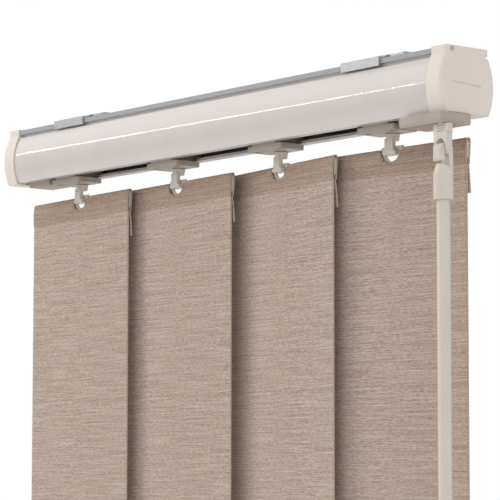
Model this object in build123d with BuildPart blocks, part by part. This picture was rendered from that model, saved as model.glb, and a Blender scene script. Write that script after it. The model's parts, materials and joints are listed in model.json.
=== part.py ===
"""Vertical blind, sample size: a ceiling-fixed head rail, four fabric vanes on turning carriers, and a wand.

Millimetres, +Z up. The origin is on the ceiling plane, midway between the screw holes of the two clips.
X runs along the rail, -Y faces the room, +Y faces the window.
"""

from build123d import *
from math import atan2, cos, degrees, hypot, pi, radians, sin
import os

os.makedirs("parts", exist_ok=True)

# Rail section
RAIL_TOP = -2.5
RAIL_BOTTOM = -32.3
FLANGE_HALF = 12.2
FLANGE_FOOT = RAIL_TOP - 2.3
NECK_HALF = 10.4
NECK_FOOT = -6.9
SHOULDER_HALF = 12.4
BELLY_HALF = 15.8
BELLY_Z = -21.0
BOTTOM_HALF = 12.9
WALL = 1.4
TOP_WALL = 1.4
LIP = 1.5
SLOT_FRONT = -8.1
SLOT_BACK = 7.2
RAIL_FIRST = -189.0
RAIL_LAST = 167.5

# End caps
CAP_FACE = 1.8
CAP_SKIN = 0.6
CAP_DEPTH = 10.5
CAP_ROUND = 2.0
SCREW_Y = -9.9
SCREW_Z = -3.7
SCREW_R = 0.65
BUSH_R = 4.4
BUSH_LONG = 6.0

# Carriers, tilt rod and vanes
STEM_X = (-142.0, -53.5, 31.2, 114.0)
STEM_Y = 4.0
VANE_YAW = (3.7, 3.7, 8.0, -1.7)
ROD_Y = -4.4
ROD_Z = -18.0
ROD_FLATS = 5.0
ROD_BORE = 3.3
CARRIER_HALF = 9.0
RUN_GAP = 0.5
PLATE_HALF = 13.0
PLATE_TOP = -32.8
PLATE_BOTTOM = -35.5
PLATE_FRONT = -7.6
PLATE_BACK = 8.4
WORM_R = 3.6
WORM_HALF = 7.5
WHEEL_TIP = 4.5
WHEEL_TEETH = 14
SHAFT_R = 2.0
RUNNING = 0.05
LINK_Z = -11.2
LINK_THICK = 0.5
LINK_WIDE = 5.0
LINK_LANES = (-4.5, 4.5)

# Stem hook, hanger and fabric
VANE_TOP = -42.4
VANE_WIDE = 100.0
VANE_LONG = 500.0
CLOTH = 0.65
POCKET_HALF = 1.35
SEAM_Z = VANE_TOP - 12.0
FLAP_FOOT = VANE_TOP - 25.0
NOTCH_R = 7.2
HANGER_HALF = 0.6
HANGER_WIDE = 99.2
BAR_FOOT = -43.7
HOLE_R = 4.9
HOLE_Z = BAR_FOOT
EYELET_R = 7.0
EARS_TOP = VANE_TOP + 0.8
HOOK_HALF = 2.7
HOOK_SPREAD = 4.2
STEM_STEP = -38.9
HOOK_FOOT = -45.8
HEM_HIGH = 34.0

# Wand carrier and wand
WAND_X = 166.4
WAND_Y = -13.0
SHAFT_X = 149.9
BODY_FIRST = 130.4
BODY_LAST = 157.8
FOOT_LAST = 171.0
FOOT_TOP = -33.3
FOOT_BOTTOM = -37.2
COVER_BOTTOM = -38.1
GEAR_TOP = -34.5
GEAR_BOTTOM = -36.9
PINION_TEETH = 12
PIN_R = 1.2
BEVEL_R = 5.6
BEVEL_INNER_R = 4.1
POST_R = 4.4
BLOCK_HALF = 4.8
TONGUE_HALF = 2.7
WEB_HALF = 2.5
EYE_TOP = -42.6
EYE_HALF = 1.8
EYE_OPEN = 2.9
EYE_ROOF = -45.1
EYE_BAR_Z = -51.4
EYE_BAR_R = 0.9
SHOULDER_TOP = -56.8
SLEEVE_TOP = -61.2
SLEEVE_BOTTOM = -73.0
SLEEVE_R = 4.55
WAND_R = 3.1
WAND_FOOT = -420.0

# Ceiling clips
CLIP_HOLE_X = 120.4
CLIP_SHEET = 1.1
CLIP_HOOK = 27.0
CLIP_LONG = 36.5


def save(block, label):
    block.part.label = label
    export_step(block.part, f"parts/{label}.step")


def rail_profile(grow=0.0):
    """Outer outline of the rail, grown evenly: flange, neck groove and bellied sides."""
    flange, neck, shoulder = FLANGE_HALF + grow, NECK_HALF + grow, SHOULDER_HALF + grow
    top, foot, under = RAIL_TOP + grow, RAIL_BOTTOM - grow, FLANGE_FOOT - grow
    with BuildSketch() as outline:
        with BuildLine():
            Polyline((0, top), (-flange, top), (-flange, under), (-neck, under), (-neck, NECK_FOOT), (-shoulder, NECK_FOOT))
            ThreePointArc((-shoulder, NECK_FOOT), (-BELLY_HALF - grow, BELLY_Z), (-BOTTOM_HALF - grow, foot))
            Line((-BOTTOM_HALF - grow, foot), (0, foot))
            mirror(about=Plane.YZ)
        make_face()
    return outline.sketch


def channel_profile(shrink=0.0):
    """Inner outline of the rail, shrunk evenly: what the carriers run in."""
    top = RAIL_TOP - TOP_WALL - shrink
    neck = NECK_HALF - WALL - shrink
    under = NECK_FOOT - WALL - shrink
    shoulder = SHOULDER_HALF - WALL - shrink
    foot = RAIL_BOTTOM + LIP + shrink * 0.8
    with BuildSketch() as outline:
        with BuildLine():
            Polyline((0, top), (-neck, top), (-neck, under), (-shoulder, under))
            ThreePointArc(
                (-shoulder, under), (-BELLY_HALF + WALL + shrink, BELLY_Z), (-BOTTOM_HALF + WALL + shrink, foot)
            )
            Line((-BOTTOM_HALF + WALL + shrink, foot), (0, foot))
            mirror(about=Plane.YZ)
        make_face()
    return outline.sketch


def cap_profile(inset=0.0, edge=0.0):
    """Outer outline of an end cap: one smooth curve at the front, the rail's flange and neck at the back."""
    front, belly, bottom = (half + CAP_SKIN - inset for half in (FLANGE_HALF, BELLY_HALF, BOTTOM_HALF))
    back, neck, shoulder = (half + CAP_SKIN - edge for half in (FLANGE_HALF, NECK_HALF, SHOULDER_HALF))
    back_belly, back_bottom = BELLY_HALF + CAP_SKIN - edge, BOTTOM_HALF + CAP_SKIN - edge
    top, foot = RAIL_TOP + CAP_SKIN - edge, RAIL_BOTTOM - CAP_SKIN + edge
    with BuildSketch() as outline:
        with BuildLine():
            Polyline((back, top), (-front, top), (-front, FLANGE_FOOT - CAP_SKIN))
            ThreePointArc((-front, FLANGE_FOOT - CAP_SKIN), (-belly, BELLY_Z), (-bottom, foot))
            Line((-bottom, foot), (back_bottom, foot))
            ThreePointArc((back_bottom, foot), (back_belly, BELLY_Z), (shoulder, NECK_FOOT + CAP_SKIN))
            Polyline(
                (shoulder, NECK_FOOT + CAP_SKIN),
                (neck, NECK_FOOT + CAP_SKIN),
                (neck, FLANGE_FOOT - CAP_SKIN),
                (back, FLANGE_FOOT - CAP_SKIN),
                (back, top),
            )
        make_face()
    return outline.sketch


def across(x):
    """A plane across the rail at x: its own x is +Y and its own y is +Z."""
    return Plane(origin=(x, 0, 0), x_dir=(0, 1, 0), z_dir=(1, 0, 0))


def level(x, y, z):
    return Plane(origin=(x, y, z), x_dir=(1, 0, 0), z_dir=(0, 0, 1))


def gear_profile(teeth, pitch_r, turn=0.0):
    """A spur gear's outline with slim straight-sided teeth, one of them pointing along turn degrees."""
    module = 2 * pitch_r / teeth
    root, tip = pitch_r - 1.1 * module, pitch_r + 0.8 * module
    half_root, half_tip = 0.27 * pi * module, 0.12 * pi * module
    points = []
    for tooth in range(teeth):
        angle = radians(turn + 360 * tooth / teeth)
        for reach, side in ((root, -half_root), (tip, -half_tip), (tip, half_tip), (root, half_root)):
            points.append((reach * cos(angle) - side * sin(angle), reach * sin(angle) + side * cos(angle)))
    with BuildSketch() as outline:
        Polygon(*points, align=None)
    return outline.sketch


def headrail():
    with BuildPart() as rail:
        with BuildSketch(across(RAIL_FIRST)):
            add(rail_profile())
        extrude(amount=RAIL_LAST - RAIL_FIRST)
        with BuildSketch(across(RAIL_FIRST)):
            add(channel_profile())
        extrude(amount=RAIL_LAST - RAIL_FIRST, mode=Mode.SUBTRACT)
        with BuildSketch(across(RAIL_FIRST)):
            with Locations(((SLOT_FRONT + SLOT_BACK) / 2, RAIL_BOTTOM)):
                Rectangle(SLOT_BACK - SLOT_FRONT, 2 * LIP + 1)
        extrude(amount=RAIL_LAST - RAIL_FIRST, mode=Mode.SUBTRACT)
        for end, inward in ((RAIL_FIRST, 1), (RAIL_LAST, -1)):
            with BuildSketch(across(end)):
                with Locations((SCREW_Y, SCREW_Z)):
                    Circle(SCREW_R)
            extrude(amount=inward * 8, mode=Mode.SUBTRACT)
    save(rail, "headrail")


def end_cap(label, face_x, inward):
    """A cup over the rail's end, with a socket for the rod's bush. Inward is +1 or -1 along X."""
    with BuildPart() as cap:
        for depth, inset, edge in ((0, 1.7, 0.3), (0.35, 1.0, 0.05), (0.9, 0.4, 0), (CAP_ROUND, 0, 0)):
            with BuildSketch(across(face_x + inward * depth)):
                add(cap_profile(inset, edge))
        loft(ruled=True)
        with BuildSketch(across(face_x + inward * CAP_ROUND)):
            add(cap_profile())
        extrude(amount=inward * (CAP_DEPTH - CAP_ROUND))
        with BuildSketch(across(face_x + inward * CAP_FACE)):
            add(rail_profile())
        extrude(amount=inward * CAP_DEPTH, mode=Mode.SUBTRACT)
        with BuildSketch(across(face_x + inward * CAP_FACE)):
            with Locations((ROD_Y, ROD_Z)):
                Circle(BUSH_R + 1.4)
                Circle(BUSH_R, mode=Mode.SUBTRACT)
        extrude(amount=inward * BUSH_LONG)
        with BuildSketch(across(face_x)):
            with Locations((SCREW_Y, SCREW_Z)):
                Circle(SCREW_R + 0.2)
        extrude(amount=inward * CAP_FACE, mode=Mode.SUBTRACT)
        with BuildSketch(across(face_x)):
            with Locations((-0.6, -19.2)):
                Rectangle(17.5, 0.5, rotation=-3)
        extrude(amount=inward * 0.35, mode=Mode.SUBTRACT)
    save(cap, label)


def rod_bush(label, face_x, inward):
    with BuildPart() as bush:
        with BuildSketch(across(face_x + inward * CAP_FACE)):
            with Locations((ROD_Y, ROD_Z)):
                Circle(BUSH_R)
                Circle(ROD_FLATS / 2 / cos(radians(30)) + RUNNING, mode=Mode.SUBTRACT)
        extrude(amount=inward * BUSH_LONG)
    save(bush, label)


def cap_screws():
    """One small pan-head screw in each cap's upper front corner."""
    with BuildPart() as screws:
        for face_x, inward in ((RAIL_FIRST - CAP_FACE, 1), (RAIL_LAST + CAP_FACE, -1)):
            with BuildSketch(across(face_x)):
                with Locations((SCREW_Y, SCREW_Z)):
                    Circle(SCREW_R)
            extrude(amount=inward * 9)
            with BuildSketch(across(face_x)):
                with Locations((SCREW_Y, SCREW_Z)):
                    Circle(1.05)
            extrude(amount=-inward * 0.5)
    save(screws, "end_cap_screws")


def ceiling_clip(label, hole_x):
    """Sheet-metal clip: a plate under the ceiling, a hook round the flange's front edge and a spring toe behind."""
    left = hole_x - CLIP_HOOK + 3.0
    with BuildPart() as clip:
        with BuildSketch(across(left)):
            with BuildLine():
                front = -FLANGE_HALF
                Polyline(
                    (front + 3, RAIL_TOP),
                    (front, RAIL_TOP),
                    (front, FLANGE_FOOT),
                    (front + 1.4, FLANGE_FOOT),
                    (front + 1.4, FLANGE_FOOT - CLIP_SHEET),
                    (front - CLIP_SHEET, FLANGE_FOOT - CLIP_SHEET),
                    (front - CLIP_SHEET, RAIL_TOP + CLIP_SHEET),
                    (front + 2.4, RAIL_TOP + CLIP_SHEET),
                    (front + 4.6, 0),
                    (-front - 4.6, 0),
                    (-front - 2.4, RAIL_TOP + CLIP_SHEET),
                    (-front + CLIP_SHEET, RAIL_TOP + CLIP_SHEET),
                    (-front + CLIP_SHEET, FLANGE_FOOT - CLIP_SHEET),
                    (-front - 1.0, FLANGE_FOOT - CLIP_SHEET),
                    (-front - 1.0, FLANGE_FOOT),
                    (-front, FLANGE_FOOT),
                    (-front, RAIL_TOP),
                    (-front - 3, RAIL_TOP),
                    (-front - 5.2, -CLIP_SHEET),
                    (front + 5.2, -CLIP_SHEET),
                    close=True,
                )
            make_face()
        extrude(amount=CLIP_HOOK)
        with BuildSketch(level(left + CLIP_HOOK + (CLIP_LONG - CLIP_HOOK) / 2, -1, -CLIP_SHEET)):
            RectangleRounded(CLIP_LONG - CLIP_HOOK + 4, 12, 1.5)
        extrude(amount=CLIP_SHEET)
        with BuildSketch(level(hole_x, 0, -CLIP_SHEET)):
            Circle(2.2)
            with Locations((9, 0)):
                SlotOverall(6, 3)
        extrude(amount=CLIP_SHEET, mode=Mode.SUBTRACT)
    save(clip, label)


def tilt_rod():
    with BuildPart() as rod:
        with BuildSketch(across(RAIL_FIRST + 0.4)):
            with Locations((ROD_Y, ROD_Z)):
                RegularPolygon(ROD_FLATS / 2, 6, major_radius=False)
        extrude(amount=RAIL_LAST - RAIL_FIRST - 0.8)
    save(rod, "tilt_rod")


def end_stop():
    """Stop that fills the slot beside the first carrier."""
    first, last = -177.5, -157.5
    with BuildPart() as stop:
        with BuildSketch(level((first + last) / 2, 0, PLATE_BOTTOM + 0.6)):
            with Locations((0, (PLATE_FRONT + PLATE_BACK) / 2)):
                RectangleRounded(last - first, PLATE_BACK - PLATE_FRONT, 1.2)
        extrude(amount=RAIL_BOTTOM - PLATE_BOTTOM - 0.6)
        with BuildSketch(level((first + last) / 2, 0, RAIL_BOTTOM)):
            with Locations((0, (SLOT_FRONT + SLOT_BACK) / 2)):
                Rectangle(last - first - 2, SLOT_BACK - SLOT_FRONT)
        extrude(amount=LIP)
        with BuildSketch(level((first + last) / 2, 0, RAIL_BOTTOM + LIP)):
            Rectangle(last - first - 2, 22)
        extrude(amount=3)
    save(stop, "end_stop")


def carrier(number, x):
    """Runner in the rail: bores for the rod's worm and the stem, slots for the spacer links, and a foot plate."""
    with BuildPart() as body:
        with BuildSketch(across(x - CARRIER_HALF)):
            add(channel_profile(RUN_GAP))
        extrude(amount=2 * CARRIER_HALF)
        with BuildSketch(level(x, 0, PLATE_TOP)):
            with Locations((0, (SLOT_FRONT + SLOT_BACK) / 2)):
                Rectangle(2 * CARRIER_HALF, SLOT_BACK - SLOT_FRONT - 2 * RUN_GAP)
        extrude(amount=RAIL_BOTTOM + LIP + 2 - PLATE_TOP)
        with BuildSketch(level(x, (PLATE_FRONT + PLATE_BACK) / 2, PLATE_BOTTOM)):
            RectangleRounded(2 * PLATE_HALF, PLATE_BACK - PLATE_FRONT, 1.2)
        extrude(amount=PLATE_TOP - PLATE_BOTTOM)
        with BuildSketch(across(x - CARRIER_HALF)):
            with Locations((ROD_Y, ROD_Z)):
                RegularPolygon(ROD_BORE, 8, major_radius=False)
        extrude(amount=2 * CARRIER_HALF, mode=Mode.SUBTRACT)
        with BuildSketch(across(x - WORM_HALF - 0.3)):
            with Locations((ROD_Y, ROD_Z)):
                RegularPolygon(WORM_R + 0.35, 12, major_radius=False)
        extrude(amount=2 * WORM_HALF + 0.6, mode=Mode.SUBTRACT)
        with BuildSketch(level(x, STEM_Y, ROD_Z - 2.8)):
            RegularPolygon(WHEEL_TIP + 0.4, 12, major_radius=False)
            with Locations((0, 8)):
                Rectangle(2 * WHEEL_TIP + 0.8, 16)
        extrude(amount=5.6, mode=Mode.SUBTRACT)
        with BuildSketch(level(x, STEM_Y, PLATE_BOTTOM)):
            Circle(SHAFT_R + RUNNING)
        extrude(amount=ROD_Z - PLATE_BOTTOM, mode=Mode.SUBTRACT)
        with BuildSketch(across(x - CARRIER_HALF)):
            for lane in LINK_LANES:
                with Locations((lane, LINK_Z)):
                    Rectangle(LINK_WIDE + 0.6, LINK_THICK + 0.6)
        extrude(amount=2 * CARRIER_HALF, mode=Mode.SUBTRACT)
        with BuildSketch(level(x, (PLATE_FRONT + PLATE_BACK) / 2, PLATE_BOTTOM)):
            with Locations((-PLATE_HALF + 4, -4), (PLATE_HALF - 4, -4)):
                Rectangle(4, 2.4)
        extrude(amount=1.0, mode=Mode.SUBTRACT)
    save(body, f"carrier_{number}")


def worm(number, x):
    """Sleeve on the tilt rod, as wide as its thread's pitch line. The thread itself is left plain."""
    with BuildPart() as sleeve:
        with BuildSketch(across(x - WORM_HALF)):
            with Locations((ROD_Y, ROD_Z)):
                Circle(WORM_R)
                RegularPolygon(ROD_FLATS / 2 + 0.08, 6, major_radius=False, mode=Mode.SUBTRACT)
        extrude(amount=2 * WORM_HALF)
    save(sleeve, f"worm_{number}")


def turned(x, yaw, y=0.0, z=0.0, normal=(0, 0, 1)):
    """A plane on a stem's axis, turned with its vane: right edge towards the room for a positive yaw."""
    angle = radians(-yaw)
    along = Vector(cos(angle), sin(angle), 0)
    back = Vector(-sin(angle), cos(angle), 0)
    origin = Vector(x, STEM_Y, z) + back * y
    if normal == "back":
        return Plane(origin=origin, x_dir=along, z_dir=back * -1)
    return Plane(origin=origin, x_dir=along, z_dir=(0, 0, 1))


def side_on(x, yaw, along=0.0):
    """A plane across a vane: its own x is the vane's back and its own y is +Z."""
    angle = radians(-yaw)
    direction = Vector(cos(angle), sin(angle), 0)
    back = Vector(-sin(angle), cos(angle), 0)
    origin = Vector(x, STEM_Y, 0) + direction * along
    return Plane(origin=origin, x_dir=back, z_dir=direction)


def hook_profile(lowest, highest):
    """Side outline of the stem's hook: front prong, foot under the hanger's bar and upturned tip, between two levels."""
    with BuildSketch() as outline:
        with BuildLine():
            Polyline(
                (-2.9, STEM_STEP + 1),
                (-2.9, HOOK_FOOT + 0.8),
                (-2.2, HOOK_FOOT),
                (2.0, HOOK_FOOT),
                (2.0, BAR_FOOT + 0.9),
                (1.0, BAR_FOOT + 0.5),
                (1.0, BAR_FOOT - 0.15),
                (-0.8, BAR_FOOT - 0.15),
                (-0.8, STEM_STEP + 1),
                close=True,
            )
        make_face()
        with Locations((0, (lowest + highest) / 2)):
            Rectangle(8, highest - lowest, mode=Mode.INTERSECT)
    return outline.sketch


def stem(number, x, yaw):
    """Worm wheel, shaft, round stem, and a front prong that hooks back under the hanger's bar with a wider foot."""
    with BuildPart() as spindle:
        with BuildSketch(turned(x, yaw, z=ROD_Z - 2.4)):
            add(gear_profile(WHEEL_TEETH, WHEEL_TIP - 0.5))
        extrude(amount=4.8)
        with BuildSketch(turned(x, yaw, z=PLATE_BOTTOM - 0.5)):
            Circle(SHAFT_R)
        extrude(amount=ROD_Z - PLATE_BOTTOM)
        with BuildSketch(turned(x, yaw, z=PLATE_BOTTOM - 0.3)):
            Circle(3.5)
        with BuildSketch(turned(x, yaw, z=STEM_STEP)):
            Circle(3.0)
        loft()
        for half, lowest, highest in (
            (HOOK_HALF, HOOK_FOOT, STEM_STEP + 1),
            (HOOK_SPREAD, HOOK_FOOT, BAR_FOOT - 0.15),
        ):
            with BuildSketch(side_on(x, yaw, -half)):
                add(hook_profile(lowest, highest))
            extrude(amount=2 * half)
    save(spindle, f"stem_{number}")


def hanger(number, x, yaw):
    """Clear strip in the vane's top pocket, with a raised eyelet that the stem's hook holds."""
    with BuildPart() as strip:
        with BuildSketch(turned(x, yaw, HANGER_HALF, 0, "back")):
            with Locations((0, (VANE_TOP - 1 + SEAM_Z + 1.6) / 2)):
                RectangleRounded(HANGER_WIDE, VANE_TOP - SEAM_Z - 2.6, 1.5)
            with Locations((0, VANE_TOP - 0.2)):
                Circle(EYELET_R)
            with Locations((0, EARS_TOP + EYELET_R)):
                Rectangle(2 * EYELET_R, 2 * EYELET_R, mode=Mode.SUBTRACT)
            with Locations((0, HOLE_Z)):
                Circle(HOLE_R, mode=Mode.SUBTRACT)
            with Locations((0, (EARS_TOP + BAR_FOOT) / 2)):
                Rectangle(2 * HOLE_R, EARS_TOP - BAR_FOOT)
        extrude(amount=2 * HANGER_HALF)
    save(strip, f"hanger_{number}")


def vane(number, x, yaw):
    """One strip of cloth, folded over and sewn into a top pocket with a loose flap, and hemmed round its weight."""
    foot = VANE_TOP - VANE_LONG
    front, inner = -POCKET_HALF, -POCKET_HALF + CLOTH
    with BuildPart() as cloth:
        with BuildSketch(side_on(x, yaw, -VANE_WIDE / 2)):
            with BuildLine():
                Polyline(
                    (front, VANE_TOP - 1),
                    (front, foot + 1),
                    (front + 1, foot),
                    (-front - 1, foot),
                    (-front, foot + 1),
                    (-front, foot + HEM_HIGH),
                    (-inner, foot + HEM_HIGH + 1),
                    (inner, foot + HEM_HIGH + 2),
                    (inner, FLAP_FOOT),
                    (inner + 0.35, FLAP_FOOT),
                    (inner + 1.15, FLAP_FOOT),
                    (inner + 0.85, SEAM_Z - 0.6),
                    (-front, SEAM_Z + 1.6),
                    (-front, VANE_TOP - 1),
                    (-front - 1, VANE_TOP),
                    (front + 1, VANE_TOP),
                    close=True,
                )
            make_face()
            with Locations((0, (VANE_TOP - CLOTH + SEAM_Z + 1.4) / 2)):
                Rectangle(-2 * inner, VANE_TOP - CLOTH - SEAM_Z - 1.4, mode=Mode.SUBTRACT)
            with Locations((0, foot + CLOTH + (HEM_HIGH - CLOTH) / 2)):
                Rectangle(-2 * inner, HEM_HIGH - CLOTH, mode=Mode.SUBTRACT)
        extrude(amount=VANE_WIDE)
        with BuildSketch(turned(x, yaw, 2 * POCKET_HALF, 0, "back")):
            with Locations((0, VANE_TOP)):
                Circle(NOTCH_R)
        extrude(amount=4 * POCKET_HALF, mode=Mode.SUBTRACT)
    save(cloth, f"vane_{number}")


def vane_weight(number, x, yaw):
    foot = VANE_TOP - VANE_LONG + CLOTH
    with BuildPart() as weight:
        with BuildSketch(turned(x, yaw, HANGER_HALF, 0, "back")):
            with Locations((0, foot + 15)):
                RectangleRounded(94, 30, 3)
        extrude(amount=2 * HANGER_HALF)
    save(weight, f"vane_weight_{number}")


def spacer_link(number, left_x, right_x, right_half, lane):
    """Strip that keeps two carriers apart: a head at each end, free to slide through the left one."""
    first = left_x - CARRIER_HALF - 0.4
    last = right_x + right_half + 0.4
    with BuildPart() as link:
        with BuildSketch(level((first + last) / 2, lane, LINK_Z - LINK_THICK / 2)):
            Rectangle(last - first + 0.4, LINK_WIDE)
        extrude(amount=LINK_THICK)
        with BuildSketch(level(first - 0.8, lane, LINK_Z - 0.9)):
            Rectangle(1.6, LINK_WIDE)
        extrude(amount=1.8)
        with BuildSketch(level(last + 0.8, lane, LINK_Z - 0.9)):
            Rectangle(1.6, LINK_WIDE)
        extrude(amount=1.8)
    save(link, f"spacer_link_{number}")


# Wand gear train: post, idler and drive shaft on one line in plan
TRAIN = hypot(WAND_X - SHAFT_X, WAND_Y - ROD_Y)
TRAIN_TURN = degrees(atan2(WAND_Y - ROD_Y, WAND_X - SHAFT_X))
PINION_R = TRAIN / 6
IDLER_R = TRAIN / 3
IDLER_X = (WAND_X + SHAFT_X) / 2
IDLER_Y = (WAND_Y + ROD_Y) / 2
TRAIN_AXES = ((WAND_X, WAND_Y, PINION_R), (IDLER_X, IDLER_Y, IDLER_R), (SHAFT_X, ROD_Y, PINION_R))


def foot_outline(inset=0.0):
    """Plan of the foot under the wand carrier, which holds the gears and carries the post at its corner."""
    first, last, front, back = BODY_FIRST + 11, FOOT_LAST, WAND_Y - 4.6, 1.0
    with BuildSketch() as outline:
        with Locations(((first + last) / 2, (front + back) / 2)):
            RectangleRounded(last - first - 2 * inset, back - front - 2 * inset, 1.5)
    return outline.sketch


def wand_carrier():
    """Lead runner: bevel gears above on the rod, a foot below with the gears that take the drive to the wand."""
    with BuildPart() as body:
        with BuildSketch(across(BODY_FIRST)):
            add(channel_profile(RUN_GAP))
        extrude(amount=BODY_LAST - BODY_FIRST)
        with BuildSketch(level((BODY_FIRST + BODY_LAST) / 2, (SLOT_FRONT + SLOT_BACK) / 2, FOOT_TOP)):
            Rectangle(BODY_LAST - BODY_FIRST, SLOT_BACK - SLOT_FRONT - 2 * RUN_GAP)
        extrude(amount=RAIL_BOTTOM + LIP + 2 - FOOT_TOP)
        with BuildSketch(level(0, 0, FOOT_BOTTOM)):
            add(foot_outline())
        extrude(amount=FOOT_TOP - FOOT_BOTTOM)
        with BuildSketch(level((BODY_FIRST + BODY_LAST) / 2, (PLATE_FRONT + PLATE_BACK) / 2, PLATE_BOTTOM)):
            RectangleRounded(BODY_LAST - BODY_FIRST, PLATE_BACK - PLATE_FRONT, 1.2)
        extrude(amount=PLATE_TOP - PLATE_BOTTOM)
        with BuildSketch(level(0, 0, FOOT_BOTTOM)):
            for x, y, pitch_r in TRAIN_AXES:
                with Locations((x, y)):
                    RegularPolygon(pitch_r + 0.7, 16, major_radius=False)
        extrude(amount=GEAR_TOP + 0.2 - FOOT_BOTTOM, mode=Mode.SUBTRACT)
        with BuildSketch(level(0, 0, FOOT_BOTTOM)):
            with Locations((WAND_X, WAND_Y), (IDLER_X, IDLER_Y)):
                Circle(PIN_R + RUNNING)
        extrude(amount=GEAR_TOP + 0.8 - FOOT_BOTTOM, mode=Mode.SUBTRACT)
        with BuildSketch(level(SHAFT_X, ROD_Y, FOOT_BOTTOM)):
            Circle(SHAFT_R + RUNNING)
        extrude(amount=ROD_Z - FOOT_BOTTOM, mode=Mode.SUBTRACT)
        with BuildSketch(level(SHAFT_X, ROD_Y, ROD_Z - BEVEL_R - 2.4)):
            RegularPolygon(BEVEL_R + 1.1, 12, major_radius=False)
        extrude(amount=BEVEL_R + 2.4, mode=Mode.SUBTRACT)
        with BuildSketch(across(SHAFT_X - BEVEL_R - 5.6)):
            with Locations((ROD_Y, ROD_Z)):
                RegularPolygon(BEVEL_R + 1.1, 12, major_radius=False)
        extrude(amount=BEVEL_R + 5.6, mode=Mode.SUBTRACT)
        with BuildSketch(across(BODY_FIRST)):
            with Locations((ROD_Y, ROD_Z)):
                RegularPolygon(ROD_BORE, 8, major_radius=False)
        extrude(amount=BODY_LAST - BODY_FIRST, mode=Mode.SUBTRACT)
        with BuildSketch(across(BODY_FIRST)):
            for lane in LINK_LANES:
                with Locations((lane, LINK_Z)):
                    Rectangle(LINK_WIDE + 0.6, LINK_THICK + 0.6)
        extrude(amount=BODY_LAST - BODY_FIRST, mode=Mode.SUBTRACT)
    save(body, "wand_carrier")


def wand_carrier_cover():
    with BuildPart() as cover:
        with BuildSketch(level(0, 0, COVER_BOTTOM)):
            add(foot_outline(0.2))
            with Locations((WAND_X, WAND_Y)):
                Circle(2.5 + RUNNING, mode=Mode.SUBTRACT)
        extrude(amount=FOOT_BOTTOM - COVER_BOTTOM)
        with BuildSketch(level(0, 0, FOOT_BOTTOM)):
            with Locations((IDLER_X, IDLER_Y), (SHAFT_X, ROD_Y)):
                Circle(PIN_R + RUNNING)
        extrude(amount=-0.7, mode=Mode.SUBTRACT)
    save(cover, "wand_carrier_cover")


def idler_gear():
    with BuildPart() as gear:
        with BuildSketch(level(IDLER_X, IDLER_Y, GEAR_BOTTOM)):
            add(gear_profile(2 * PINION_TEETH, IDLER_R, TRAIN_TURN + 90 / PINION_TEETH))
        extrude(amount=GEAR_TOP - GEAR_BOTTOM)
        with BuildSketch(level(IDLER_X, IDLER_Y, FOOT_BOTTOM - 0.6)):
            Circle(PIN_R)
        extrude(amount=GEAR_TOP + 0.6 - FOOT_BOTTOM + 0.6)
    save(gear, "idler_gear")


def drive_shaft():
    """Vertical shaft: pinion in the foot, mitre gear under the rod."""
    with BuildPart() as shaft:
        for pitch_r in (BEVEL_R, BEVEL_INNER_R):
            with BuildSketch(level(SHAFT_X, ROD_Y, ROD_Z - pitch_r)):
                add(gear_profile(PINION_TEETH, pitch_r, 180 + 180 / PINION_TEETH))
        loft(ruled=True)
        with BuildSketch(level(SHAFT_X, ROD_Y, ROD_Z - BEVEL_R - 2)):
            Circle(BEVEL_R - 1.6)
        extrude(amount=2)
        with BuildSketch(level(SHAFT_X, ROD_Y, GEAR_BOTTOM)):
            add(gear_profile(PINION_TEETH, PINION_R, TRAIN_TURN))
        extrude(amount=GEAR_TOP - GEAR_BOTTOM)
        with BuildSketch(level(SHAFT_X, ROD_Y, GEAR_TOP)):
            Circle(SHAFT_R)
        extrude(amount=ROD_Z - BEVEL_R - 1 - GEAR_TOP)
        with BuildSketch(level(SHAFT_X, ROD_Y, FOOT_BOTTOM - 0.6)):
            Circle(PIN_R)
        extrude(amount=GEAR_BOTTOM - FOOT_BOTTOM + 0.6)
    save(shaft, "drive_shaft")


def rod_gear():
    """Mitre gear that slides along the tilt rod with the wand carrier and turns it."""
    with BuildPart() as gear:
        for pitch_r in (BEVEL_R, BEVEL_INNER_R):
            with BuildSketch(across(SHAFT_X - pitch_r)):
                with Locations((ROD_Y, ROD_Z)):
                    add(gear_profile(PINION_TEETH, pitch_r, -90))
        loft(ruled=True)
        with BuildSketch(across(SHAFT_X - BEVEL_R - 5)):
            with Locations((ROD_Y, ROD_Z)):
                Circle(BEVEL_R - 1.6)
        extrude(amount=5)
        with BuildSketch(across(SHAFT_X - BEVEL_R - 6)):
            with Locations((ROD_Y, ROD_Z)):
                RegularPolygon(ROD_FLATS / 2 + 0.08, 6, major_radius=False)
        extrude(amount=BEVEL_R + 6, mode=Mode.SUBTRACT)
    save(gear, "rod_gear")


def wand_front(y):
    """Sketch plane at depth y that looks out of the blind's front, with its middle on the wand's axis."""
    return Plane(origin=(WAND_X, y, 0), x_dir=(1, 0, 0), z_dir=(0, -1, 0))


def wand_side(x, z=0.0):
    """Sketch plane across the blind at x, drawn from the wand's axis."""
    return Plane(origin=(x, WAND_Y, z), x_dir=(0, 1, 0), z_dir=(1, 0, 0))


def eye_outline(half, top, foot):
    """Shield shape of the post seen from the front: square at the top, round at the bottom."""
    with BuildSketch() as outline:
        with Locations((0, (top + foot + half) / 2)):
            Rectangle(2 * half, top - foot - half)
        with Locations((0, foot + half)):
            Circle(half)
    return outline.sketch


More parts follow.
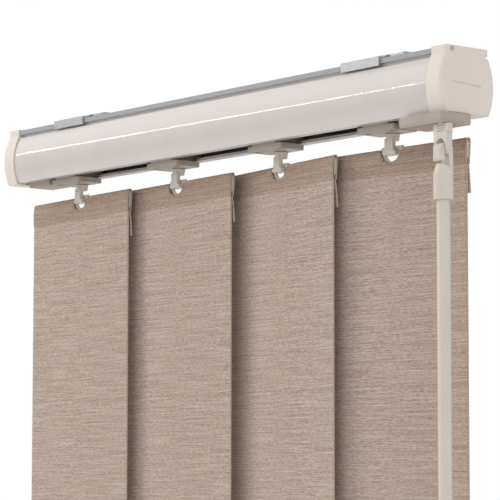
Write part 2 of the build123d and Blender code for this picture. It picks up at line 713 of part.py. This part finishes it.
def wand_post():
    """Turning post under the foot: pinion inside, a ribbed block and the round eye that carries the wand."""
    with BuildPart() as post:
        with BuildSketch(level(WAND_X, WAND_Y, GEAR_BOTTOM)):
            add(gear_profile(PINION_TEETH, PINION_R, TRAIN_TURN + 180))
        extrude(amount=GEAR_TOP - GEAR_BOTTOM)
        with BuildSketch(level(WAND_X, WAND_Y, GEAR_TOP)):
            Circle(PIN_R)
        extrude(amount=0.6)
        with BuildSketch(level(WAND_X, WAND_Y, COVER_BOTTOM - 0.5)):
            Circle(2.5)
        extrude(amount=GEAR_BOTTOM - COVER_BOTTOM + 0.5)
        with BuildSketch(level(WAND_X, WAND_Y, EYE_TOP)):
            RectangleRounded(2 * BLOCK_HALF, 2 * EYE_HALF, 0.6)
        extrude(amount=COVER_BOTTOM - 0.3 - EYE_TOP)
        for row in range(3):
            with BuildSketch(level(WAND_X, WAND_Y, COVER_BOTTOM - 1.6 - 1.2 * row)):
                with Locations((0.6, -EYE_HALF)):
                    Rectangle(5.2, 0.8)
            extrude(amount=0.6, mode=Mode.SUBTRACT)
        with BuildPart() as eye:
            with BuildSketch(wand_side(WAND_X - POST_R, EYE_BAR_Z)):
                high, low = EYE_TOP - EYE_BAR_Z + 0.5, -EYE_BAR_R - 0.1
                Polygon(
                    (-EYE_HALF, high), (-EYE_HALF, 1.7), (-1.1, 0.2), (-1.1, low), (1.1, low), (1.1, 0.2),
                    (EYE_HALF, 1.7), (EYE_HALF, high), align=None,
                )
            extrude(amount=2 * POST_R)
            with BuildSketch(wand_front(WAND_Y + 4)):
                add(eye_outline(POST_R, EYE_TOP + 0.5, EYE_BAR_Z - EYE_BAR_R))
            extrude(amount=8, mode=Mode.INTERSECT)
            with BuildSketch(level(WAND_X, WAND_Y, EYE_BAR_Z - 2)):
                Circle(POST_R + 0.1)
            extrude(amount=12, mode=Mode.INTERSECT)
            with BuildSketch(wand_front(WAND_Y + 4)):
                with Locations((0, EYE_ROOF - EYE_OPEN)):
                    Circle(EYE_OPEN)
                with Locations((0, EYE_ROOF - EYE_OPEN - 5)):
                    Rectangle(2 * EYE_OPEN, 10)
            extrude(amount=8, mode=Mode.SUBTRACT)
            with BuildSketch(wand_side(WAND_X - EYE_OPEN - 0.4, EYE_BAR_Z)):
                Circle(EYE_BAR_R)
            extrude(amount=2 * EYE_OPEN + 0.8)
    save(post, "wand_post")


def wand_hook():
    """Fitting that hooks over the eye's bar: front tongue, web through the eye, back leg, neck and sleeve."""
    with BuildPart() as hook:
        with BuildSketch(wand_side(WAND_X - TONGUE_HALF, EYE_BAR_Z)):
            with BuildLine():
                seat = EYE_BAR_R + RUNNING
                Polyline(
                    (-seat, 0),
                    (-1.6, -1.4),
                    (-1.6, -3.4),
                    (-2.2, -4.0),
                    (-3.4, -4.0),
                    (-4.1, -3.2),
                    (-4.2, 1.6),
                    (-3.2, 3.3),
                    (-1.8, 4.0),
                    (1.8, 4.0),
                    (3.2, 3.2),
                    (4.0, 1.6),
                    (4.0, -11.0),
                    (1.4, -11.0),
                    (1.8, -7.0),
                    (seat, 0),
                )
                ThreePointArc((seat, 0), (0, seat), (-seat, 0))
            make_face()
        extrude(amount=2 * TONGUE_HALF)
        for side in (-1, 1):
            with BuildSketch(wand_front(WAND_Y + 6)):
                with Locations((side * (WEB_HALF + 2), EYE_BAR_Z + 3.7)):
                    Rectangle(4.0, 10.0)
            extrude(amount=12, mode=Mode.SUBTRACT)
            with BuildSketch(wand_front(WAND_Y + 6)):
                with Locations((side * (WEB_HALF + 2), EYE_BAR_Z - 5.5)):
                    Rectangle(4.0, 13)
            extrude(amount=6, mode=Mode.SUBTRACT)
        with BuildPart() as sleeve:
            with BuildSketch(level(WAND_X, WAND_Y, SLEEVE_BOTTOM)):
                Circle(SLEEVE_R)
            extrude(amount=SLEEVE_TOP - SLEEVE_BOTTOM)
            with BuildSketch(level(WAND_X, WAND_Y, SLEEVE_TOP)):
                Circle(SLEEVE_R)
            with BuildSketch(level(WAND_X, WAND_Y, SHOULDER_TOP)):
                Circle(3.2)
            loft()
            with BuildSketch(wand_side(WAND_X - 6)):
                Polygon(
                    (-6, SHOULDER_TOP + 1), (-2.6, SHOULDER_TOP + 1), (-2.6, SHOULDER_TOP), (4.6, SLEEVE_TOP),
                    (6, SLEEVE_TOP), (6, SHOULDER_TOP + 1), align=None,
                )
            extrude(amount=12, mode=Mode.SUBTRACT)
        with BuildSketch(level(WAND_X, WAND_Y, SLEEVE_BOTTOM - 1)):
            Circle(SLEEVE_R)
        extrude(amount=40, mode=Mode.INTERSECT)
        with BuildSketch(level(WAND_X, WAND_Y, SLEEVE_BOTTOM)):
            Circle(WAND_R)
        extrude(amount=SLEEVE_TOP - SLEEVE_BOTTOM - 2, mode=Mode.SUBTRACT)
    save(hook, "wand_hook")


def wand_tube():
    with BuildPart() as tube:
        with BuildSketch(level(WAND_X, WAND_Y, WAND_FOOT)):
            Circle(WAND_R)
            Circle(WAND_R - 0.8, mode=Mode.SUBTRACT)
        extrude(amount=SLEEVE_TOP - 2 - WAND_FOOT)
    save(tube, "wand_tube")


def wand_tip():
    with BuildPart() as tip:
        with BuildSketch(Plane(origin=(WAND_X, WAND_Y, 0), x_dir=(1, 0, 0), z_dir=(0, -1, 0))):
            with BuildLine():
                Polyline(
                    (0, WAND_FOOT + 12),
                    (WAND_R - 0.8, WAND_FOOT + 12),
                    (WAND_R - 0.8, WAND_FOOT),
                    (3.9, WAND_FOOT),
                    (3.9, WAND_FOOT - 15),
                    (3.4, WAND_FOOT - 16.6),
                    (2.2, WAND_FOOT - 17.7),
                    (0, WAND_FOOT - 18),
                    close=True,
                )
            make_face()
        revolve(axis=Axis((WAND_X, WAND_Y, WAND_FOOT), (0, 0, 1)))
    save(tip, "wand_tip")


headrail()
end_cap("end_cap_left", RAIL_FIRST - CAP_FACE, 1)
end_cap("end_cap_right", RAIL_LAST + CAP_FACE, -1)
rod_bush("rod_bush_left", RAIL_FIRST - CAP_FACE, 1)
rod_bush("rod_bush_right", RAIL_LAST + CAP_FACE, -1)
cap_screws()
ceiling_clip("ceiling_clip_left", -CLIP_HOLE_X)
ceiling_clip("ceiling_clip_right", CLIP_HOLE_X)
tilt_rod()
end_stop()
for number, (x, yaw) in enumerate(zip(STEM_X, VANE_YAW), start=1):
    carrier(number, x)
    worm(number, x)
    stem(number, x, yaw)
    hanger(number, x, yaw)
    vane(number, x, yaw)
    vane_weight(number, x, yaw)
body_middle = (BODY_FIRST + BODY_LAST) / 2
body_half = (BODY_LAST - BODY_FIRST) / 2
link_rights = [(x, CARRIER_HALF) for x in STEM_X[1:]] + [(body_middle, body_half)]
for number, (left_x, (right_x, right_half)) in enumerate(zip(STEM_X, link_rights), start=1):
    spacer_link(number, left_x, right_x, right_half, LINK_LANES[(number - 1) % 2])
wand_carrier()
wand_carrier_cover()
idler_gear()
drive_shaft()
rod_gear()
wand_post()
wand_hook()
wand_tube()
wand_tip()
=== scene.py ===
"""Studio picture of a vertical blind: cloth vanes, finishes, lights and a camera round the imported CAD."""

import json
import math
import random

import bpy
from mathutils import Matrix, Vector


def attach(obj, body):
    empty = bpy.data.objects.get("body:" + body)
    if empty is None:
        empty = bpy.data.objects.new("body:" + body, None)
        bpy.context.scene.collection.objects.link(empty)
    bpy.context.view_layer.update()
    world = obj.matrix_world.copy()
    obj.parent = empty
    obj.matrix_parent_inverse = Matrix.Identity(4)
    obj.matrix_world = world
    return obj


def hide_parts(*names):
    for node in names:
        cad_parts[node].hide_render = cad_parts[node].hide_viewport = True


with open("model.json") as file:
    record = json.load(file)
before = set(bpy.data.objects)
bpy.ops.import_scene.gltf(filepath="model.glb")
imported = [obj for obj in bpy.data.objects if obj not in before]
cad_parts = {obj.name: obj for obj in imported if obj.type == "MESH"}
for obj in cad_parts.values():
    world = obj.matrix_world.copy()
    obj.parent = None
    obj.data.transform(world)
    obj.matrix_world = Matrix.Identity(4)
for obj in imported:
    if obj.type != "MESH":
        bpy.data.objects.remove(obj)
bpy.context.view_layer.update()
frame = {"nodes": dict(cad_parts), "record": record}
nodes = frame["nodes"]

# Stems: place along the rail in metres and the vane's turn at rest in degrees
STEMS = {1: (-0.142, 3.7), 2: (-0.0535, 3.7), 3: (0.0312, 8.0), 4: (0.114, -1.7)}
STEM_Y = 0.004

# Rail profile, in metres
FLANGE_FOOT = -0.0048
FLANGE_FACE = FLANGE_FOOT + 0.0020
NECK_INNER = 0.0094
SHOULDER_FOOT = -0.0083
LIP_TOP = -0.0309
BELLY_CENTRE = (-0.0119, -0.0210)
BELLY_INNER_R = 0.0270

# Vane, in metres: the notch is cut for the hanger's eyelet, and the seam closes the top pocket
VANE_TOP = -0.0424
VANE_LONG = 0.500
VANE_HALF = 0.050
VANE_FOOT = VANE_TOP - VANE_LONG + 0.0004
SEAM_Z = VANE_TOP - 0.012
NOTCH_R = 0.0072
NOTCH_Z = VANE_TOP + 0.0001
CLOTH_THICK = 0.0006
FOLD_HALF = 0.00103
HEM_TALL = 0.032
HEM_TUCK = 0.0345
HEM_ROUND = 0.001
POCKET_FOOT = VANE_TOP - 0.0135
POCKET_TALL = 0.0121
POCKET_SWELL = 0.0005
FRONT_STEPS = 150

# Cloth's mesh: columns near the cut edges, pitch between the others, how many points past the highest one the
# back's ripples begin, and how far above and below the notch's arc a corner is drawn onto it
EDGE_COLUMNS = (VANE_HALF, 0.049, 0.047, 0.044)
COLUMN_PITCH = 0.004
BACK_FROM = 8
NOTCH_ABOVE, NOTCH_BELOW = 0.004, 0.0012

# Back of the pocket, seam and loose flap: depth behind the vane's middle and distance below its top
BACK = (
    (0.0010, 0.0025),
    (0.0009, 0.0045),
    (0.0008, 0.0065),
    (0.0007, 0.0085),
    (0.0005, 0.0105),
    (0.0003, 0.0120),
    (-0.0002, 0.0127),
    (0.0000, 0.0135),
    (0.0004, 0.0155),
    (0.0007, 0.0180),
    (0.0010, 0.0210),
    (0.0012, 0.0240),
    (0.0013, 0.0256),
)

# Ripples across the cloth: height in metres and radians per metre
FRONT_WAVES = ((0.00022, 60), (0.00012, 140))
FLAP_WAVES = ((0.00025, 95), (0.00018, 210))
SEAM_PUCKERS = ((0.00010, 620),)
PHASE_RANGE = 6.28

# Studio
AMBIENT_BELOW, AMBIENT_ABOVE = 0.10, 0.80
FLOOR_HALF, FLOOR_Z = 3, -0.62

# Camera: focal length in pixels of the frame, heading, roll and pitch in degrees, and place in metres
FRAME_PIXELS = 500
SENSOR_WIDE = 36.0
FOCAL, HEADING, ROLL, PITCH = 2443.86, 51.11, 0.07, 5.49
PLACE = Vector((0.96405, -0.76843, -0.20108))

# Sockets of Blender's Mix node in its colour form
MIX_FACTOR, MIX_A, MIX_B, MIX_RESULT = 0, 6, 7, 2


def new_material(name):
    material = bpy.data.materials.new(name)
    material.use_nodes = True
    tree = material.node_tree
    return material, tree, tree.nodes["Principled BSDF"]


def link(tree, source, target):
    tree.links.new(source, target)


def object_coordinates(tree):
    return tree.nodes.new("ShaderNodeTexCoord").outputs["Object"]


def object_axis(tree, axis):
    """One object coordinate, in metres."""
    split = tree.nodes.new("ShaderNodeSeparateXYZ")
    link(tree, object_coordinates(tree), split.inputs[0])
    return split.outputs[axis]


def mapped_noise(tree, stretch, scale, detail=3.0, roughness=0.5):
    """Noise on object coordinates, stretched along each axis."""
    mapping = tree.nodes.new("ShaderNodeMapping")
    mapping.inputs["Scale"].default_value = stretch
    noise = tree.nodes.new("ShaderNodeTexNoise")
    noise.inputs["Scale"].default_value = scale
    noise.inputs["Detail"].default_value = detail
    noise.inputs["Roughness"].default_value = roughness
    link(tree, object_coordinates(tree), mapping.inputs["Vector"])
    link(tree, mapping.outputs["Vector"], noise.inputs["Vector"])
    return noise.outputs["Fac"]


def ramp(tree, source, stops):
    """Colour along the source's value, through stops of position and colour."""
    node = tree.nodes.new("ShaderNodeValToRGB")
    elements = node.color_ramp.elements
    while len(elements) > 1:
        elements.remove(elements[-1])
    elements[0].position, elements[0].color = stops[0][0], (*stops[0][1], 1)
    for position, colour in stops[1:]:
        elements.new(position).color = (*colour, 1)
    link(tree, source, node.inputs["Fac"])
    return node.outputs["Color"]


def bump(tree, shader, source, strength, distance, under=None):
    """Surface relief on the shader, laid over the relief that the under socket gives."""
    node = tree.nodes.new("ShaderNodeBump")
    node.inputs["Strength"].default_value = strength
    node.inputs["Distance"].default_value = distance
    link(tree, source, node.inputs["Height"])
    if under is not None:
        link(tree, under, node.inputs["Normal"])
    link(tree, node.outputs["Normal"], shader.inputs["Normal"])
    return node.outputs["Normal"]


def mix(tree, kind, factor, a, b):
    """Colour a blended with b, which is a socket or a fixed colour."""
    node = tree.nodes.new("ShaderNodeMix")
    node.data_type = "RGBA"
    node.blend_type = kind
    if isinstance(factor, float):
        node.inputs[MIX_FACTOR].default_value = factor
    else:
        link(tree, factor, node.inputs[MIX_FACTOR])
    link(tree, a, node.inputs[MIX_A])
    if isinstance(b, tuple):
        node.inputs[MIX_B].default_value = (*b, 1)
    else:
        link(tree, b, node.inputs[MIX_B])
    return node.outputs[MIX_RESULT]


def map_range(tree, source, low, high, to_low=0.0, to_high=1.0, kind="LINEAR"):
    """Source values from low to high, carried to values from to_low to to_high."""
    node = tree.nodes.new("ShaderNodeMapRange")
    node.interpolation_type = kind
    node.inputs["From Min"].default_value = low
    node.inputs["From Max"].default_value = high
    node.inputs["To Min"].default_value = to_low
    node.inputs["To Max"].default_value = to_high
    link(tree, source, node.inputs["Value"])
    return node.outputs["Result"]


def band(tree, source, low, high):
    """Zero below low, one above high, smooth between."""
    return map_range(tree, source, low, high, kind="SMOOTHSTEP")


def arithmetic(tree, operation, a, b=0.0):
    """Math node on sockets or fixed numbers."""
    node = tree.nodes.new("ShaderNodeMath")
    node.operation = operation
    for socket, value in zip(node.inputs, (a, b)):
        if isinstance(value, float):
            socket.default_value = value
        else:
            link(tree, value, socket)
    return node.outputs[0]


def moulded(name, low, high, roughness, grain=900.0, depth=0.00004):
    """Moulded plastic or powder coat: slight mottling of colour, roughness and surface."""
    material, tree, shader = new_material(name)
    cloud = mapped_noise(tree, (1, 1, 1), 45.0, detail=2.0)
    link(tree, ramp(tree, cloud, [(0.3, low), (0.7, high)]), shader.inputs["Base Color"])
    spread = map_range(tree, cloud, 0.0, 1.0, roughness - 0.05, roughness + 0.08)
    link(tree, spread, shader.inputs["Roughness"])
    fine = mapped_noise(tree, (1, 1, 1), grain, detail=2.0)
    bump(tree, shader, fine, strength=0.25, distance=depth)
    return material, tree, shader


def plastic(name, low, high, roughness):
    return moulded(name, low, high, roughness)[0]


def clear_plastic(name, tint, roughness):
    """Slightly see-through plastic."""
    material, _, shader = moulded(name, tuple(c * 0.95 for c in tint), tint, roughness, grain=500.0)
    shader.inputs["Transmission Weight"].default_value = 0.12
    shader.inputs["IOR"].default_value = 1.46
    return material


def metal(name, low, high, roughness, stretch):
    """Brushed metal."""
    material, tree, shader = new_material(name)
    brushed = mapped_noise(tree, stretch, 200.0, detail=4.0, roughness=0.7)
    link(tree, ramp(tree, brushed, [(0.3, low), (0.7, high)]), shader.inputs["Base Color"])
    shader.inputs["Metallic"].default_value = 1.0
    spread = map_range(tree, brushed, 0.0, 1.0, roughness - 0.08, roughness + 0.1)
    link(tree, spread, shader.inputs["Roughness"])
    bump(tree, shader, brushed, strength=0.1, distance=0.00003)
    return material


def outside_of_rail(tree):
    """One on the rail's outer faces and lips, zero on the faces of its channel, which get painted shade."""
    across = arithmetic(tree, "ABSOLUTE", object_axis(tree, "Y"))
    height = object_axis(tree, "Z")
    from_centre = arithmetic(tree, "SUBTRACT", across, BELLY_CENTRE[0])
    above_centre = arithmetic(tree, "SUBTRACT", height, BELLY_CENTRE[1])
    squares = arithmetic(
        tree,
        "ADD",
        arithmetic(tree, "MULTIPLY", from_centre, from_centre),
        arithmetic(tree, "MULTIPLY", above_centre, above_centre),
    )
    side = arithmetic(tree, "GREATER_THAN", arithmetic(tree, "SQRT", squares), BELLY_INNER_R)
    beside = arithmetic(tree, "GREATER_THAN", across, NECK_INNER)
    high = arithmetic(tree, "GREATER_THAN", height, SHOULDER_FOOT)
    neck = arithmetic(tree, "MULTIPLY", beside, high)
    top = arithmetic(tree, "GREATER_THAN", height, FLANGE_FACE)
    lips = arithmetic(tree, "LESS_THAN", height, LIP_TOP)
    sides = arithmetic(tree, "MAXIMUM", side, neck)
    ends = arithmetic(tree, "MAXIMUM", top, lips)
    return arithmetic(tree, "MAXIMUM", sides, ends)


def rail_paint():
    """White powder coat under a clear gloss, grey anodised flange, and painted shade that darkens the faces
    of the channel.
    """
    low, high = (0.630, 0.592, 0.575), (0.650, 0.612, 0.595)
    # grey is the flange's anodised colour; shade is painted shade for the inside of the channel
    grey, shade = (0.36, 0.375, 0.39), (0.22, 0.20, 0.19)
    material, tree, shader = moulded("rail paint", low, high, 0.36, grain=1400.0, depth=0.00002)
    painted = shader.inputs["Base Color"].links[0].from_socket
    flange = band(tree, object_axis(tree, "Z"), FLANGE_FOOT - 0.0001, FLANGE_FOOT + 0.0001)
    coloured = mix(tree, "MIX", flange, painted, grey)
    # painted shade: the channel's inner faces are multiplied dark to stand for the shadow inside the rail
    channel_painted_shade = mix(tree, "MULTIPLY", 1.0, coloured, shade)
    finished = mix(tree, "MIX", outside_of_rail(tree), channel_painted_shade, coloured)
    link(tree, finished, shader.inputs["Base Color"])
    shader.inputs["Coat Weight"].default_value = 1.0
    shader.inputs["Coat Roughness"].default_value = 0.06
    return material


def slub_cloth(name, dark, base, light, cut):
    """Crepe weave with thick and thin weft threads across the vane, painted shade over the double-layered
    pocket, and paler cut edges.
    """
    material, tree, shader = new_material(name)
    crinkle = mapped_noise(tree, (1, 1, 9), 42.0, roughness=0.55)
    broad = mapped_noise(tree, (0.5, 1, 85), 28.0, roughness=0.6)
    slub = mapped_noise(tree, (0.5, 1, 52), 62.0, roughness=0.62)
    fleck = mapped_noise(tree, (0.6, 1, 4), 620.0, detail=2.0, roughness=0.6)
    threads = ramp(tree, slub, [(0.40, dark), (0.5, base), (0.60, light)])
    streaks = ramp(tree, broad, [(0.40, dark), (0.5, base), (0.60, light)])
    flecks = ramp(tree, fleck, [(0.38, dark), (0.5, base), (0.62, light)])
    woven = mix(tree, "MIX", 0.36, threads, streaks)
    woven = mix(tree, "MIX", 0.42, woven, flecks)
    # painted shade: the pocket above the seam is multiplied darker, standing for two cloth layers letting
    # less light through than one
    painted_pocket_shade = band(tree, object_axis(tree, "Z"), SEAM_Z - 0.003, SEAM_Z + 0.001)
    shaded = mix(tree, "MULTIPLY", painted_pocket_shade, woven, (0.82, 0.78, 0.74))
    across = arithmetic(tree, "ABSOLUTE", object_axis(tree, "X"))
    edge = band(tree, across, VANE_HALF - 0.0003, VANE_HALF - 0.0001)
    finished = mix(tree, "MIX", edge, shaded, cut)
    link(tree, finished, shader.inputs["Base Color"])
    shader.inputs["Roughness"].default_value = 0.95
    shader.inputs["Specular IOR Level"].default_value = 0.15
    shader.inputs["Sheen Weight"].default_value = 0.08
    shader.inputs["Sheen Roughness"].default_value = 0.5
    weave = tree.nodes.new("ShaderNodeTexWave")
    weave.bands_direction = "Z"
    weave.inputs["Scale"].default_value = 420.0
    weave.inputs["Distortion"].default_value = 2.0
    weave.inputs["Detail"].default_value = 1.0
    link(tree, object_coordinates(tree), weave.inputs["Vector"])
    rows = bump(tree, shader, weave.outputs["Fac"], strength=0.35, distance=0.00012)
    folds = bump(tree, shader, crinkle, strength=0.35, distance=0.0014, under=rows)
    bump(tree, shader, slub, strength=0.6, distance=0.0005, under=folds)
    return material


def make_finishes():
    """Every material slot of the part, with its material."""
    return {
        "rail_paint": rail_paint(),
        "cap_plastic": plastic("cap plastic", (0.770, 0.715, 0.660), (0.795, 0.740, 0.685), 0.42),
        "clip_steel": metal("zinc plate", (0.50, 0.51, 0.52), (0.66, 0.67, 0.68), 0.32, (1, 6, 6)),
        "screw_steel": plastic("screw paint", (0.50, 0.44, 0.40), (0.56, 0.50, 0.46), 0.4),
        "carrier_plastic": plastic("carrier plastic", (0.42, 0.37, 0.315), (0.48, 0.425, 0.37), 0.45),
        "gear_plastic": plastic("gear plastic", (0.66, 0.63, 0.57), (0.70, 0.67, 0.61), 0.35),
        "rod_aluminium": metal("rod aluminium", (0.58, 0.58, 0.59), (0.66, 0.66, 0.67), 0.38, (1, 8, 8)),
        "link_steel": metal("spring steel", (0.45, 0.45, 0.46), (0.55, 0.55, 0.56), 0.35, (1, 8, 8)),
        "stem_clear": clear_plastic("stem plastic", (0.70, 0.65, 0.58), 0.3),
        "fabric": slub_cloth(
            "slub cloth",
            dark=(0.30, 0.215, 0.165),
            base=(0.47, 0.365, 0.30),
            light=(0.68, 0.57, 0.49),
            cut=(0.52, 0.47, 0.38),
        ),
        "weight_plastic": plastic("weight plastic", (0.66, 0.65, 0.62), (0.72, 0.71, 0.69), 0.4),
        "wand_plastic": plastic("wand plastic", (0.655, 0.612, 0.560), (0.695, 0.652, 0.600), 0.3),
    }


def fold(depth, height, centre_z, start, steps):
    """Half-round fold of the cloth, half a turn back from the start angle."""
    angles = [start - math.pi * step / steps for step in range(steps + 1)]
    return [(depth * math.cos(angle), centre_z + height * math.sin(angle)) for angle in angles]


def vane_path():
    """Centre line of the cloth: hem, front, swollen front of the pocket, top fold, back and flap."""
    hem_fold = VANE_FOOT + HEM_ROUND
    points = [(0.0002, VANE_FOOT + HEM_TUCK), (FOLD_HALF, VANE_FOOT + HEM_TALL), (FOLD_HALF, hem_fold)]
    points += fold(FOLD_HALF, 0.0009, hem_fold, start=0.0, steps=4)
    low, high = VANE_FOOT + 0.003, POCKET_FOOT
    for step in range(FRONT_STEPS + 1):
        points.append((-FOLD_HALF, low + (high - low) * step / FRONT_STEPS))
    for step in range(1, 10):
        share = step / 10
        swell = POCKET_SWELL * math.sin(math.pi * share) ** 0.8
        points.append((-FOLD_HALF - swell, POCKET_FOOT + POCKET_TALL * share))
    points.append((-FOLD_HALF + 0.0001, VANE_TOP - 0.0013))
    points += fold(0.0010, 0.0008, VANE_TOP - 0.0012, start=math.pi, steps=6)
    points += [(depth, VANE_TOP - down) for depth, down in BACK]
    return points


def vane_columns():
    """Places across the vane, closer together at its edges and round the notch."""
    edges = [side * column for column in EDGE_COLUMNS for side in (-1, 1)]
    spread = [-0.040 + COLUMN_PITCH * step for step in range(21)]
    clear = [column for column in spread if abs(column) > NOTCH_R + 0.001]
    notch = [NOTCH_R * math.sin(math.radians(angle)) for angle in range(-90, 91, 15)]
    return sorted(edges + clear + notch)


def waves(column, rows, phases):
    return sum(height * math.sin(column * rate + phase) for (height, rate), phase in zip(rows, phases))


def front_ripple(column, down, phases):
    """Slow waves of the hanging cloth, which fade towards the top and the weighted hem."""
    fade = min(1.0, down / 0.03)
    hem = 1.0 if down < VANE_LONG - 0.06 else 0.4
    return waves(column, FRONT_WAVES, phases) * fade * hem


def back_ripple(column, down, phases):
    """Waves of the loose flap, and puckers along the seam."""
    loose = min(1.0, max(0.0, (down - 0.013) / 0.006))
    near_seam = math.exp(-(((down - 0.0127) / 0.002) ** 2))
    return waves(column, FLAP_WAVES, phases) * loose + waves(column, SEAM_PUCKERS, phases[2:]) * near_seam


def in_notch(corners):
    """Whether a face's middle lies in the notch."""
    x = sum(corner[0] for corner in corners) / 4
    z = sum(corner[2] for corner in corners) / 4
    return abs(x) < NOTCH_R and NOTCH_Z - z < math.sqrt(max(0.0, NOTCH_R**2 - x**2))


def round_notch(mesh, used):
    """Draws the cloth's corners beside the notch onto its arc."""
    for index in used:
        place = mesh.vertices[index].co
        if abs(place.x) < NOTCH_R - 1e-6:
            edge = NOTCH_Z - math.sqrt(NOTCH_R**2 - place.x**2)
            if -NOTCH_BELOW < place.z - edge < NOTCH_ABOVE:
                place.z = edge


def cloth_mesh(number, path):
    """Folded sheet of one vane, with its own ripples and the notch cut out."""
    rng = random.Random(40 + number)
    phases = [rng.uniform(0, PHASE_RANGE) for _ in range(5)]
    columns = vane_columns()
    width = len(columns)
    top_index = max(range(len(path)), key=lambda i: path[i][1])
    vertices = []
    for index, (depth, z) in enumerate(path):
        down = VANE_TOP - z
        for column in columns:
            if index > top_index + BACK_FROM:
                ripple = back_ripple(column, down, phases[2:])
            else:
                ripple = front_ripple(column, down, phases)
            vertices.append((column, depth + ripple, z))
    faces = []
    for row in range(len(path) - 1):
        for i in range(row * width, row * width + width - 1):
            faces.append((i, i + 1, i + 1 + width, i + width))
    kept = [face for face in faces if not in_notch([vertices[v] for v in face])]
    mesh = bpy.data.meshes.new(f"cloth_{number}")
    mesh.from_pydata(vertices, [], kept)
    mesh.update()
    round_notch(mesh, {v for face in kept for v in face})
    for polygon in mesh.polygons:
        polygon.use_smooth = True
    return mesh


def make_vane(number):
    """Cloth of one vane, as a single folded and sewn sheet."""
    x, yaw = STEMS[number]
    path = vane_path()
    obj = bpy.data.objects.new(f"vane_cloth_{number}", cloth_mesh(number, path))
    bpy.context.scene.collection.objects.link(obj)
    obj.matrix_world = Matrix.Translation((x, STEM_Y, 0)) @ Matrix.Rotation(math.radians(-yaw), 4, "Z")
    thick = obj.modifiers.new("thickness", "SOLIDIFY")
    thick.thickness = CLOTH_THICK
    thick.offset = 0
    obj.data.materials.append(FINISHES["fabric"])
    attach(obj, f"vane_{number}")
    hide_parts(f"vane_{number}")


def background(tree, colour, strength=1.0):
    node = tree.nodes.new("ShaderNodeBackground")
    node.inputs["Color"].default_value = (*colour, 1)
    node.inputs["Strength"].default_value = strength
    return node


def world_light():
    """White behind the blind, and a soft room round it that is brighter above than below."""
    world = bpy.data.worlds.new("studio")
    bpy.context.scene.world = world
    world.use_nodes = True
    tree = world.node_tree
    tree.nodes.clear()
    seen = background(tree, (1, 1, 1))
    ambient = background(tree, (1.0, 0.985, 0.97))
    split = tree.nodes.new("ShaderNodeSeparateXYZ")
    link(tree, tree.nodes.new("ShaderNodeTexCoord").outputs["Generated"], split.inputs[0])
    strength = map_range(tree, split.outputs["Z"], -0.6, 0.5, AMBIENT_BELOW, AMBIENT_ABOVE)
    link(tree, strength, ambient.inputs["Strength"])
    rays = tree.nodes.new("ShaderNodeLightPath")
    white = arithmetic(tree, "MAXIMUM", rays.outputs["Is Camera Ray"], rays.outputs["Is Transmission Ray"])
    shader = tree.nodes.new("ShaderNodeMixShader")
    link(tree, white, shader.inputs["Fac"])
    link(tree, ambient.outputs[0], shader.inputs[1])
    link(tree, seen.outputs[0], shader.inputs[2])
    out = tree.nodes.new("ShaderNodeOutputWorld")
    link(tree, shader.outputs[0], out.inputs["Surface"])


def area_light(name, where, target, size, power, colour=(1, 1, 1), mirrored=True):
    """Rectangular lamp that faces the target."""
    data = bpy.data.lights.new(name, "AREA")
    data.shape = "RECTANGLE"
    data.size, data.size_y = size
    data.energy = power
    data.color = colour
    obj = bpy.data.objects.new(name, data)
    bpy.context.scene.collection.objects.link(obj)
    obj.location = where
    obj.rotation_euler = (Vector(target) - Vector(where)).to_track_quat("-Z", "Y").to_euler()
    obj.visible_glossy = mirrored


def make_lamps():
    """Key and side lamps without mirror images, and a window and its sill that the rail mirrors."""
    warm, warmer = (1.0, 0.985, 0.965), (1.0, 0.97, 0.94)
    area_light("key", (-1.75, -1.0, 0.8), (0, 0, -0.15), (0.8, 0.8), 16.5, warm, mirrored=False)
    area_light("window", (-1.95, -1.46, 1.27), (0, 0, 1.27), (1.8, 1.3), 5.6)
    area_light("sill", (-1.95, -1.46, 0.615), (0, 0, 0.0), (0.9, 0.022), 1.3)
    area_light("side", (1.7, -0.7, 0.3), (0.05, 0, -0.1), (0.8, 1.0), 4.6, warmer, mirrored=False)


def make_floor():
    mesh = bpy.data.meshes.new("floor")
    corners = [(-1, -1), (1, -1), (1, 1), (-1, 1)]
    mesh.from_pydata([(FLOOR_HALF * x, FLOOR_HALF * y, FLOOR_Z) for x, y in corners], [], [(0, 1, 2, 3)])
    floor = bpy.data.objects.new("floor", mesh)
    bpy.context.scene.collection.objects.link(floor)
    material, _, shader = new_material("floor")
    shader.inputs["Base Color"].default_value = (0.86, 0.85, 0.84, 1)
    shader.inputs["Roughness"].default_value = 0.9
    mesh.materials.append(material)


def make_camera():
    """Camera at the photograph's place, turned by heading, pitch and roll."""
    heading, roll, pitch = (math.radians(angle) for angle in (HEADING, ROLL, PITCH))
    level = math.cos(pitch)
    forward = Vector((-math.sin(heading) * level, math.cos(heading) * level, math.sin(pitch)))
    level_right = Vector((math.cos(heading), math.sin(heading), 0))
    level_up = level_right.cross(forward)
    right = math.cos(roll) * level_right + math.sin(roll) * level_up
    up = -math.sin(roll) * level_right + math.cos(roll) * level_up
    data = bpy.data.cameras.new("camera")
    data.sensor_width = SENSOR_WIDE
    data.lens = FOCAL / FRAME_PIXELS * SENSOR_WIDE
    data.clip_start, data.clip_end = 0.05, 20
    camera = bpy.data.objects.new("camera", data)
    bpy.context.scene.collection.objects.link(camera)
    turned = Matrix((right, up, -forward)).transposed().to_4x4()
    camera.matrix_world = Matrix.Translation(PLACE) @ turned
    bpy.context.scene.camera = camera


FINISHES = make_finishes()
for part in frame["record"]["subparts"]:
    for slot in nodes[part["node"]].material_slots:
        slot.material = FINISHES[part["material_slot"]]

for number in STEMS:
    make_vane(number)

world_light()
make_lamps()
make_floor()
make_camera()
bpy.context.scene.view_settings.view_transform = "Standard"
